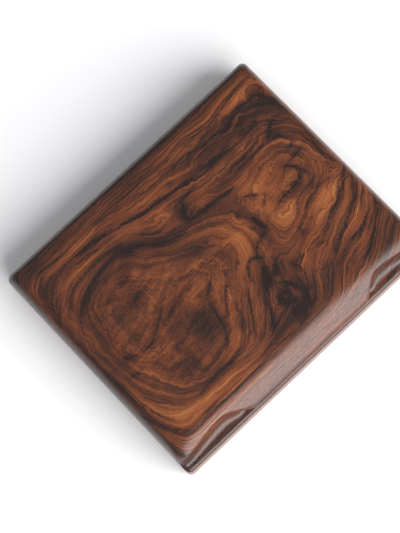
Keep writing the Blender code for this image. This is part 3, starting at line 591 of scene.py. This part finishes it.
# ---------------------------------------------------------------- materials
class Graph:
    """A short way to write shader nodes."""

    def __init__(self, name):
        self.mat = bpy.data.materials.new(name)
        self.mat.use_nodes = True
        self.tree = self.mat.node_tree
        self.bsdf = self.tree.nodes["Principled BSDF"]

    def wire(self, value, socket):
        if isinstance(value, bpy.types.NodeSocket):
            self.tree.links.new(value, socket)
        else:
            socket.default_value = value

    def node(self, kind, **props):
        n = self.tree.nodes.new(kind)
        for key, value in props.items():
            setattr(n, key, value)
        return n

    def math(self, op, a, b=0.0, c=0.0, clamp=False):
        n = self.node("ShaderNodeMath", operation=op, use_clamp=clamp)
        for i, v in enumerate((a, b, c)):
            self.wire(v, n.inputs[i])
        return n.outputs[0]

    def add(self, a, b):
        return self.math("ADD", a, b)

    def mul(self, a, b):
        return self.math("MULTIPLY", a, b)

    def step(self, value, low, high):
        """A soft step from 0 at low to 1 at high."""
        n = self.node("ShaderNodeMapRange", interpolation_type="SMOOTHSTEP")
        self.wire(value, n.inputs["Value"])
        n.inputs["From Min"].default_value, n.inputs["From Max"].default_value = (low, high) if low < high else (high, low)
        n.inputs["To Min"].default_value, n.inputs["To Max"].default_value = (0, 1) if low < high else (1, 0)
        return n.outputs["Result"]

    def attr(self, name):
        return self.node("ShaderNodeAttribute", attribute_name=name).outputs["Fac"]

    def place(self):
        """Position on the piece, in millimetres."""
        tex = self.node("ShaderNodeTexCoord").outputs["Object"]
        n = self.node("ShaderNodeVectorMath", operation="SCALE")
        self.wire(tex, n.inputs[0])
        n.inputs["Scale"].default_value = 1000
        return n.outputs[0]

    def split(self, vector):
        n = self.node("ShaderNodeSeparateXYZ")
        self.wire(vector, n.inputs[0])
        return n.outputs[0], n.outputs[1], n.outputs[2]

    def join(self, x, y, z):
        n = self.node("ShaderNodeCombineXYZ")
        for i, v in enumerate((x, y, z)):
            self.wire(v, n.inputs[i])
        return n.outputs[0]

    def stretch(self, vector, scale):
        n = self.node("ShaderNodeVectorMath", operation="MULTIPLY")
        self.wire(vector, n.inputs[0])
        n.inputs[1].default_value = scale
        return n.outputs[0]

    def noise(self, vector, scale=1.0, detail=2.0, rough=0.5, twist=0.0, colour=False):
        n = self.node("ShaderNodeTexNoise")
        self.wire(vector, n.inputs["Vector"])
        n.inputs["Scale"].default_value = scale
        n.inputs["Detail"].default_value = detail
        n.inputs["Roughness"].default_value = rough
        n.inputs["Distortion"].default_value = twist
        return n.outputs["Color" if colour else "Fac"]

    def ramp(self, value, stops):
        n = self.node("ShaderNodeValToRGB")
        self.wire(value, n.inputs[0])
        e = n.color_ramp.elements
        while len(e) < len(stops):
            e.new(0.5)
        for item, (at, rgb) in zip(e, stops):
            item.position = at
            item.color = (*rgb, 1) if not isinstance(rgb, (int, float)) else (rgb, rgb, rgb, 1)
        return n.outputs[0]

    def mix(self, fac, a, b, blend="MIX"):
        n = self.node("ShaderNodeMix", data_type="RGBA", blend_type=blend)
        self.wire(fac, n.inputs[0])
        for v, s in ((a, n.inputs[6]), (b, n.inputs[7])):
            self.wire((*v, 1) if isinstance(v, tuple) else v, s)
        return n.outputs[2]

    def bump(self, height, strength, distance, normal=None):
        n = self.node("ShaderNodeBump")
        n.inputs["Strength"].default_value = strength
        n.inputs["Distance"].default_value = distance
        self.wire(height, n.inputs["Height"])
        if normal is not None:
            self.wire(normal, n.inputs["Normal"])
        return n.outputs[0]

    def out(self, **sockets):
        for key, value in sockets.items():
            self.wire(value, self.bsdf.inputs[key.replace("_", " ")])
        return self.mat


WOOD = [
    (0.00, (0.0120, 0.0052, 0.0042)),
    (0.22, (0.030, 0.0105, 0.0062)),
    (0.45, (0.085, 0.0235, 0.0095)),
    (0.66, (0.170, 0.047, 0.0150)),
    (0.85, (0.265, 0.082, 0.0240)),
    (1.00, (0.35, 0.125, 0.038)),
]


def figured_wood():
    g = Graph("figured_walnut")
    p = g.place()
    x, y, z = g.split(p)
    growth = g.attr("growth")
    # the growth lines wander a little
    wander = g.noise(g.stretch(p, (0.05, 0.05, 0.05)), detail=3, rough=0.55)
    ripple = g.noise(g.stretch(p, (0.22, 0.22, 0.22)), detail=3, rough=0.6)
    heart = g.step(growth, 34, 60)
    # the second figure, towards the right end, is as mottled as the first
    dx, dy = g.mul(g.math("SUBTRACT", x, 57), 1 / 27), g.mul(g.math("SUBTRACT", y, 7), 1 / 17)
    second = g.step(g.add(g.mul(dx, dx), g.mul(dy, dy)), 1.3, 0.3)
    heart = g.math("MAXIMUM", heart, g.mul(second, 0.55))
    lines = g.add(growth, g.mul(g.math("SUBTRACT", wander, 0.5), g.add(4.5, g.mul(heart, 30.0))))
    lines = g.add(lines, g.mul(g.math("SUBTRACT", ripple, 0.5), g.add(1.0, g.mul(heart, 9.0))))

    def along(across, slow):
        return g.join(g.mul(lines, across), g.mul(x, slow), g.mul(g.add(y, z), slow))

    broad = g.noise(along(0.23, 0.008), detail=3, rough=0.55)
    streak = g.noise(along(0.7, 0.009), detail=4, rough=0.6)
    fine = g.noise(along(2.4, 0.022), detail=4, rough=0.62)
    hair = g.noise(along(1.0, 0.006), detail=2, rough=0.5)
    mottle = g.noise(g.stretch(p, (0.085, 0.085, 0.085)), detail=5, rough=0.62, twist=0.6)
    # inside the figures the fibres still run nearly along X, so the mottling is drawn out that way
    u = g.add(g.mul(x, 0.985), g.mul(y, 0.17))
    v = g.math("SUBTRACT", g.mul(y, 0.985), g.mul(x, 0.17))
    drawn = g.noise(g.join(g.mul(u, 0.040), g.mul(v, 0.17), g.mul(z, 0.17)), detail=5, rough=0.62, twist=0.5)
    mottle = g.add(g.mul(mottle, 0.35), g.mul(drawn, 0.65))
    fibre = g.noise(g.join(g.mul(u, 0.10), g.mul(v, 1.15), g.mul(z, 1.15)), detail=3, rough=0.6)
    fleck = g.noise(g.stretch(p, (0.5, 0.5, 0.5)), detail=3, rough=0.6)
    tone = g.add(0.64, g.mul(g.math("SUBTRACT", broad, 0.5), 0.75))
    tone = g.add(tone, g.mul(g.math("SUBTRACT", streak, 0.5), g.math("SUBTRACT", 0.95, g.mul(heart, 0.30))))
    tone = g.add(tone, g.mul(g.math("SUBTRACT", fine, 0.5), 0.50))
    tone = g.add(tone, g.mul(g.math("SUBTRACT", mottle, 0.5), g.add(0.38, g.mul(heart, 0.60))))
    tone = g.add(tone, g.mul(g.math("SUBTRACT", fleck, 0.5), 0.16))
    tone = g.add(tone, g.mul(g.math("SUBTRACT", fibre, 0.5), g.mul(heart, 0.55)))
    # the listed dark and light places of the figure, with the painted shade along the left end and the rear edge
    tone = g.math("SUBTRACT", tone, g.mul(g.attr("shade"), 0.62))
    # natural thin dark lines where the streak noise crosses a level
    outer = g.math("SUBTRACT", 1.0, g.mul(heart, 0.6))
    for source, at, wide, deep in ((streak, 0.57, 0.045, 0.20), (streak, 0.43, 0.035, 0.14), (broad, 0.45, 0.016, 0.19), (broad, 0.56, 0.014, 0.21)):
        line = g.math("ABSOLUTE", g.math("SUBTRACT", source, at))
        line = g.mul(g.mul(g.step(line, wide, 0.003), deep), outer)
        tone = g.math("SUBTRACT", tone, line)
    hairs = g.mul(g.step(hair, 0.53, 0.64), g.mul(g.math("SUBTRACT", g.step(growth, 40.0, 22.0), g.mul(second, 0.5), clamp=True), 0.22))
    tone = g.math("SUBTRACT", tone, hairs)
    # painted shade: the outer growth lines are darkened, so the lid gets darker towards its edges and down its sides
    tone = g.math("SUBTRACT", tone, g.mul(g.step(growth, 16.0, -12.0), 0.26))
    # the named veins, with a ragged edge
    ragged = g.add(g.attr("vein_edge"), g.mul(g.math("SUBTRACT", streak, 0.5), 1.5))
    ragged = g.add(ragged, g.mul(g.math("SUBTRACT", fleck, 0.5), 1.6))
    core = g.mul(g.step(ragged, 0.9, -0.5), g.attr("vein_force"))
    halo = g.mul(g.step(ragged, 3.8, -0.5), g.mul(g.attr("vein_force"), 0.22))
    tone = g.math("SUBTRACT", tone, g.mul(core, 0.46))
    tone = g.math("SUBTRACT", tone, halo)
    colour = g.ramp(g.math("ADD", tone, 0.0, clamp=True), WOOD)
    # warmer and greyer patches
    hue = g.noise(g.stretch(p, (0.035, 0.035, 0.035)), detail=2)
    colour = g.mix(g.mul(g.step(hue, 0.42, 0.62), 0.30), colour, (1.0, 0.80, 0.66), "MULTIPLY")
    # pores: short dark dashes along the grain
    pore = g.noise(along(5.2, 0.32), detail=1, rough=0.4)
    pore = g.step(pore, 0.63, 0.72)
    colour = g.mix(g.mul(pore, 0.55), colour, (0.02, 0.009, 0.006))
    rough = g.add(0.27, g.mul(pore, 0.2))
    rough = g.add(rough, g.mul(g.math("SUBTRACT", fine, 0.5), 0.10))
    smudge = g.noise(g.stretch(p, (0.03, 0.03, 0.03)), detail=4, rough=0.6)
    rough = g.add(rough, g.mul(g.math("SUBTRACT", smudge, 0.5), 0.12))
    height = g.math("SUBTRACT", g.add(g.mul(fine, 0.5), g.mul(streak, 0.25)), g.mul(pore, 0.6))
    scuff = g.noise(g.stretch(p, (1.1, 1.1, 1.1)), detail=3, rough=0.6)
    height = g.add(height, g.mul(scuff, 0.25))
    g.bsdf.inputs["Specular IOR Level"].default_value = 0.48
    g.out(Base_Color=colour, Roughness=rough, Normal=g.bump(height, 0.35, 0.00012))
    return g.mat


def straight_wood(name, ramp, tone_at, grain=(0.010, 0.30, 0.42), rough=0.34, level=0.5):
    """Wood with its grain along X."""
    g = Graph(name)
    p = g.place()
    x, y, z = g.split(p)
    bend = g.noise(g.stretch(p, (0.012, 0.03, 0.05)), detail=3)
    shift = g.mul(g.math("SUBTRACT", bend, 0.5), 9)
    y2, z2 = g.add(y, shift), g.add(z, g.mul(shift, 0.5))

    def along(s, gx):
        return g.join(g.mul(x, gx * grain[0] / 0.010), g.mul(y2, s * grain[1]), g.mul(z2, s * grain[2]))

    broad = g.noise(along(0.6, 0.010), detail=3, rough=0.55)
    streak = g.noise(along(2.0, 0.018), detail=4, rough=0.6)
    fine = g.noise(along(7.0, 0.04), detail=4, rough=0.6)
    tone = g.add(tone_at, g.mul(g.math("SUBTRACT", broad, 0.5), 0.8))
    tone = g.add(tone, g.mul(g.math("SUBTRACT", streak, 0.5), 0.7))
    tone = g.add(tone, g.mul(g.math("SUBTRACT", fine, 0.5), 0.35))
    line = g.math("ABSOLUTE", g.math("SUBTRACT", streak, 0.5))
    tone = g.math("SUBTRACT", tone, g.mul(g.step(line, 0.03, 0.006), 0.25))
    colour = g.ramp(g.math("ADD", tone, 0.0, clamp=True), ramp)
    pore = g.step(g.noise(along(16.0, 0.25), detail=1, rough=0.4), 0.63, 0.72)
    colour = g.mix(g.mul(pore, 0.5), colour, (0.02, 0.009, 0.006))
    roughness = g.add(rough, g.mul(pore, 0.2))
    roughness = g.add(roughness, g.mul(g.math("SUBTRACT", fine, 0.5), 0.12))
    height = g.math("SUBTRACT", g.mul(fine, 0.6), g.mul(pore, 0.6))
    g.bsdf.inputs["Specular IOR Level"].default_value = 0.48
    g.out(Base_Color=colour, Roughness=roughness, Normal=g.bump(height, 0.35 * level / 0.5, 0.00012))
    return g.mat


lid_wood = figured_wood()
base_wood = straight_wood("figured_walnut_straight", WOOD, 0.58, rough=0.25)

lid.data.materials.clear()
lid.data.materials.append(lid_wood)
lid.data.materials.append(base_wood)
mesh = lid.data
n = len(mesh.polygons)
normals = np.empty(n * 3, np.float32); mesh.polygons.foreach_get("normal", normals); normals = normals.reshape(-1, 3)
centres = np.empty(n * 3, np.float32); mesh.polygons.foreach_get("center", centres); centres = centres.reshape(-1, 3)
inner = (np.abs(centres[:, 0]) < W / 2 - WALL_SIDE + 0.2 * MM) & (centres[:, 1] > Y0 + LID_WALL_FRONT - 0.2 * MM) & (centres[:, 1] < Y1 - WALL_BACK + 0.2 * MM) & (centres[:, 2] < ZP + LID_DEPTH + 0.2 * MM)
inner |= centres[:, 2] < ZL + 0.02 * MM
mesh.polygons.foreach_set("material_index", inner.astype(np.int32))
mesh.shade_smooth()
mesh.set_sharp_from_angle(angle=math.radians(32))
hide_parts("lid_shell")
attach(lid, "lid")


def dress(names, mat):
    for name in names:
        data = frame["nodes"][name].data
        data.materials.clear()
        data.materials.append(mat)


base.data.materials.clear()
base.data.materials.append(base_wood)
base.data.shade_smooth()
base.data.set_sharp_from_angle(angle=math.radians(38))
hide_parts("base_shell")
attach(base, "base")

# ---------------------------------------------------------------- pen rests, partition and dividers
PLAIN = [
    (0.00, (0.022, 0.011, 0.007)),
    (0.30, (0.075, 0.034, 0.017)),
    (0.60, (0.150, 0.070, 0.034)),
    (1.00, (0.260, 0.135, 0.068)),
]


def plain_walnut():
    """Straight walnut, oiled: the pieces are sawn with the grain along their length."""
    g = Graph("plain_walnut")
    p = g.place()
    x, y, z = g.split(p)
    rest = g.math("GREATER_THAN", g.math("ABSOLUTE", g.math("SUBTRACT", g.math("ABSOLUTE", x), 60.0)), 5.0)
    # rests run along Y; the partition runs along X
    across = g.math("MULTIPLY_ADD", g.math("SUBTRACT", 1.0, rest), x, g.mul(rest, y))
    length = g.math("MULTIPLY_ADD", g.math("SUBTRACT", 1.0, rest), y, g.mul(rest, x))
    bend = g.noise(g.join(g.mul(length, 0.02), g.mul(across, 0.06), g.mul(z, 0.06)), detail=2)
    a2 = g.add(across, g.mul(bend, 6.0))
    z2 = g.add(z, g.mul(bend, 4.0))
    streak = g.noise(g.join(g.mul(length, 0.018), g.mul(a2, 0.9), g.mul(z2, 0.9)), detail=4, rough=0.6)
    fine = g.noise(g.join(g.mul(length, 0.05), g.mul(a2, 3.5), g.mul(z2, 3.5)), detail=4, rough=0.62)
    pore = g.step(g.noise(g.join(g.mul(length, 0.28), g.mul(a2, 7.0), g.mul(z2, 7.0)), detail=1, rough=0.4), 0.62, 0.70)
    tone = g.add(g.add(0.5, g.mul(g.math("SUBTRACT", streak, 0.5), 0.9)), g.mul(g.math("SUBTRACT", fine, 0.5), 0.5))
    colour = g.ramp(g.math("ADD", tone, 0.0, clamp=True), PLAIN)
    colour = g.mix(g.mul(pore, 0.6), colour, (0.03, 0.015, 0.009))
    rough = g.add(g.add(0.44, g.mul(pore, 0.2)), g.mul(g.math("SUBTRACT", fine, 0.5), 0.16))
    height = g.math("SUBTRACT", g.mul(fine, 0.6), g.mul(pore, 0.8))
    return g.out(Base_Color=colour, Roughness=rough, Normal=g.bump(height, 0.4, 0.00012))


dress(["nib_bay_partition", "nib_bay_divider_left", "nib_bay_divider_right", "pen_rest_left", "pen_rest_right"], plain_walnut())


# ---------------------------------------------------------------- brass and nickel
def metal(name, base, dull, dark, rough, along=(1, 1, 1), tarnish=0.5):
    """A plated or solid metal: fine lay from polishing, tarnish in patches, small scratches."""
    g = Graph(name)
    p = g.place()
    lay = g.noise(g.stretch(p, tuple(9.0 * a for a in along)), detail=3, rough=0.65)
    patch = g.noise(g.stretch(p, (0.35, 0.35, 0.35)), detail=5, rough=0.65)
    spot = g.noise(g.stretch(p, (2.2, 2.2, 2.2)), detail=3, rough=0.6)
    colour = g.mix(g.mul(g.step(patch, 0.42, 0.62), tarnish), base, dull)
    colour = g.mix(g.mul(g.step(spot, 0.60, 0.72), tarnish * 0.8), colour, dark)
    roughness = g.add(rough, g.mul(g.math("SUBTRACT", lay, 0.5), 0.22))
    roughness = g.add(roughness, g.mul(g.step(patch, 0.42, 0.62), 0.12))
    height = g.add(g.mul(lay, 0.6), g.mul(spot, 0.4))
    g.bsdf.inputs["Metallic"].default_value = 1.0
    return g.out(Base_Color=colour, Roughness=roughness, Normal=g.bump(height, 0.25, 0.00004))


hinge_brass = metal("brass", (0.66, 0.46, 0.21), (0.46, 0.30, 0.13), (0.20, 0.12, 0.06), 0.31, along=(0.08, 1.6, 1.6))
pin_brass = metal("brass_turned", (0.76, 0.55, 0.24), (0.55, 0.36, 0.14), (0.25, 0.15, 0.07), 0.24, along=(1.8, 0.6, 0.6), tarnish=0.4)
nickel = metal("nickel_plate", (0.70, 0.69, 0.67), (0.55, 0.53, 0.50), (0.34, 0.32, 0.30), 0.22, along=(1.5, 0.15, 1.5), tarnish=0.35)
every = list(frame["nodes"])
dress([n for n in every if n.startswith("hinge_leaf")], hinge_brass)
dress([n for n in every if n.startswith(("hinge_pin", "screw_"))], pin_brass)
dress([n for n in every if "magnet" in n], nickel)


# ---------------------------------------------------------------- baize: linings and the pad underneath
def baize(name, deep, mid, pale):
    """Wool baize: a twill hidden under a raised nap, with lint and rubbed places."""
    g = Graph(name)
    p = g.place()
    x, y, z = g.split(p)
    wobble = g.noise(g.stretch(p, (0.5, 0.5, 0.5)), detail=2)
    u = g.add(x, g.mul(wobble, 0.5))
    v = g.add(y, g.mul(wobble, 0.5))
    twill = g.math("SINE", g.mul(g.add(u, g.mul(v, 0.62)), 7.2))
    weft = g.math("SINE", g.mul(g.math("SUBTRACT", v, g.mul(u, 0.1)), 10.5))
    weave = g.add(g.mul(twill, 0.5), g.mul(weft, 0.5))
    nap = g.noise(g.stretch(p, (3.2, 1.3, 3.2)), detail=5, rough=0.72)
    fluff = g.noise(g.stretch(p, (0.9, 0.9, 0.9)), detail=4, rough=0.65, twist=0.8)
    cloud = g.noise(g.stretch(p, (0.06, 0.06, 0.06)), detail=3)
    tone = g.add(g.add(0.5, g.mul(g.math("SUBTRACT", nap, 0.5), 1.3)), g.mul(g.math("SUBTRACT", fluff, 0.5), 0.5))
    tone = g.add(tone, g.mul(g.math("SUBTRACT", cloud, 0.5), 0.5))
    tone = g.add(tone, g.mul(weave, 0.07))
    colour = g.ramp(g.math("ADD", tone, 0.0, clamp=True), [(0.1, deep), (0.5, mid), (0.9, pale)])
    lint = g.step(g.noise(g.stretch(p, (2.4, 0.7, 2.0)), detail=2, rough=0.5, twist=1.5), 0.72, 0.78)
    colour = g.mix(g.mul(lint, 0.35), colour, (0.30, 0.33, 0.28))
    height = g.add(g.mul(nap, 0.7), g.mul(weave, 0.12))
    g.bsdf.inputs["Sheen Weight"].default_value = 0.45
    g.bsdf.inputs["Sheen Roughness"].default_value = 0.45
    g.bsdf.inputs["Sheen Tint"].default_value = (0.55, 0.75, 0.62, 1)
    g.bsdf.inputs["Specular IOR Level"].default_value = 0.2
    return g.out(Base_Color=colour, Roughness=g.add(0.86, g.mul(g.math("SUBTRACT", nap, 0.5), 0.2)), Normal=g.bump(height, 0.8, 0.0004))


cloth = baize("green_baize", (0.006, 0.022, 0.014), (0.016, 0.056, 0.036), (0.035, 0.098, 0.064))


def cloth_piece(name, node, body, radii, face_up, seed, step=1.6, swell=0.10):
    """A cut piece of baize, as thick as its place allows: a soft cut edge, and a surface that isn't quite flat.
    radii are its corners' radii, front left, front right, back right, back left."""
    lo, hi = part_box(node)
    x0, y0, z0, x1, y1, z1 = lo[0], lo[1], lo[2], hi[0], hi[1], hi[2]
    nx, ny = int((x1 - x0) / (step * MM)), int((y1 - y0) / (step * MM))
    rng = np.random.default_rng(seed)
    waves = [(rng.uniform(0.02, 0.16), rng.uniform(0.02, 0.16), rng.uniform(0, 6.28), rng.uniform(0.3, 1)) for _ in range(9)]
    total = sum(w[3] for w in waves)

    def inside(x, y):
        """Moves a point of the square grid onto the outline with round corners."""
        for cx, cy, sx, sy, r in ((x0, y0, 1, 1, radii[0]), (x1, y0, -1, 1, radii[1]), (x1, y1, -1, -1, radii[2]), (x0, y1, 1, -1, radii[3])):
            if r and (x - cx) * sx < r and (y - cy) * sy < r:
                ox, oy = cx + sx * r, cy + sy * r
                dx, dy = (ox - x) * sx / r, (oy - y) * sy / r
                m = max(dx, dy)
                if m > 1e-9:
                    k = m / math.hypot(dx, dy)
                    return ox - sx * dx * k * r, oy - sy * dy * k * r
        return x, y

    verts, index = [], {}
    edge_round = 0.45 * MM
    for layer in (0, 1):
        for j in range(ny + 1):
            for i in range(nx + 1):
                # two extra rows hug the edge so that it can be rounded
                a, b = i / nx, j / ny
                x, y = x0 + (x1 - x0) * a, y0 + (y1 - y0) * b
                if i == 1: x = x0 + edge_round
                if i == nx - 1: x = x1 - edge_round
                if j == 1: y = y0 + edge_round
                if j == ny - 1: y = y1 - edge_round
                px, py = inside(x, y)
                wave = sum(w[3] * math.sin(w[0] * px * 1000 + w[1] * py * 1000 + w[2]) for w in waves) / total
                rim = i in (0, nx) or j in (0, ny)
                thick = z1 - z0
                if face_up:
                    z = z0 if layer == 0 else z1 - swell * MM * (0.5 + 0.5 * wave) - (edge_round * 0.8 if rim else 0)
                else:
                    z = z1 if layer == 1 else z0 + swell * MM * (0.5 + 0.5 * wave) + (edge_round * 0.8 if rim else 0)
                index[layer, i, j] = len(verts)
                verts.append((px, py, z))
    faces = []
    for j in range(ny):
        for i in range(nx):
            faces.append((index[1, i, j], index[1, i + 1, j], index[1, i + 1, j + 1], index[1, i, j + 1]))
            faces.append((index[0, i, j], index[0, i, j + 1], index[0, i + 1, j + 1], index[0, i + 1, j]))
    ring = [(i, 0) for i in range(nx)] + [(nx, j) for j in range(ny)] + [(i, ny) for i in range(nx, 0, -1)] + [(0, j) for j in range(ny, 0, -1)]
    for (i, j), (k, m) in zip(ring, ring[1:] + ring[:1]):
        faces.append((index[0, i, j], index[0, k, m], index[1, k, m], index[1, i, j]))
    piece = mesh_object(name, verts, faces)
    piece.data.materials.append(cloth)
    piece.data.shade_smooth()
    piece.data.set_sharp_from_angle(angle=math.radians(60))
    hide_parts(node)
    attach(piece, body)
    return piece


r = POCKET_R
cloth_piece("pen_bay_baize", "pen_bay_lining", "base", (r, r, 0, 0), True, 11)
cloth_piece("nib_bay_baize", "nib_bay_lining", "base", (0, 0, r, r), True, 12)
cloth_piece("lid_baize", "lid_lining", "lid", (r, r, r, r), False, 13)
cloth_piece("foot_baize", "underside_baize", "base", (4.7 * MM,) * 4, False, 14)

# ---------------------------------------------------------------- floor and light
floor = mesh_object("floor", [(-3, -3, 0), (3, -3, 0), (3, 3, 0), (-3, 3, 0)], [(0, 1, 2, 3)])
g = Graph("floor")
paper = g.noise(g.stretch(g.place(), (0.4, 0.4, 0.4)), detail=3)
g.out(Base_Color=g.mix(g.mul(paper, 0.12), (0.86, 0.865, 0.875), (0.80, 0.805, 0.82)), Roughness=0.85)
floor.data.materials.append(g.mat)

world = bpy.data.worlds.new("studio")
scene.world = world
world.use_nodes = True
world.node_tree.nodes["Background"].inputs["Color"].default_value = (0.95, 0.97, 1.0, 1)
world.node_tree.nodes["Background"].inputs["Strength"].default_value = 0.44


def area(name, at, target, size, radiance, color=(1, 1, 1)):
    light = bpy.data.lights.new(name, "AREA")
    light.shape = "RECTANGLE"
    light.size, light.size_y = size
    light.energy = radiance * math.pi * size[0] * size[1]
    light.color = color
    obj = bpy.data.objects.new(name, light)
    scene.collection.objects.link(obj)
    at, target = Vector(at), Vector(target)
    obj.matrix_world = Matrix.Translation(at) @ (target - at).to_track_quat("-Z", "Y").to_matrix().to_4x4()
    return obj


area("window", (0.45, -1.5, 1.6), (0.45, 0, 1.6), (2.6, 2.6), 6.1, (1.0, 0.985, 0.975))
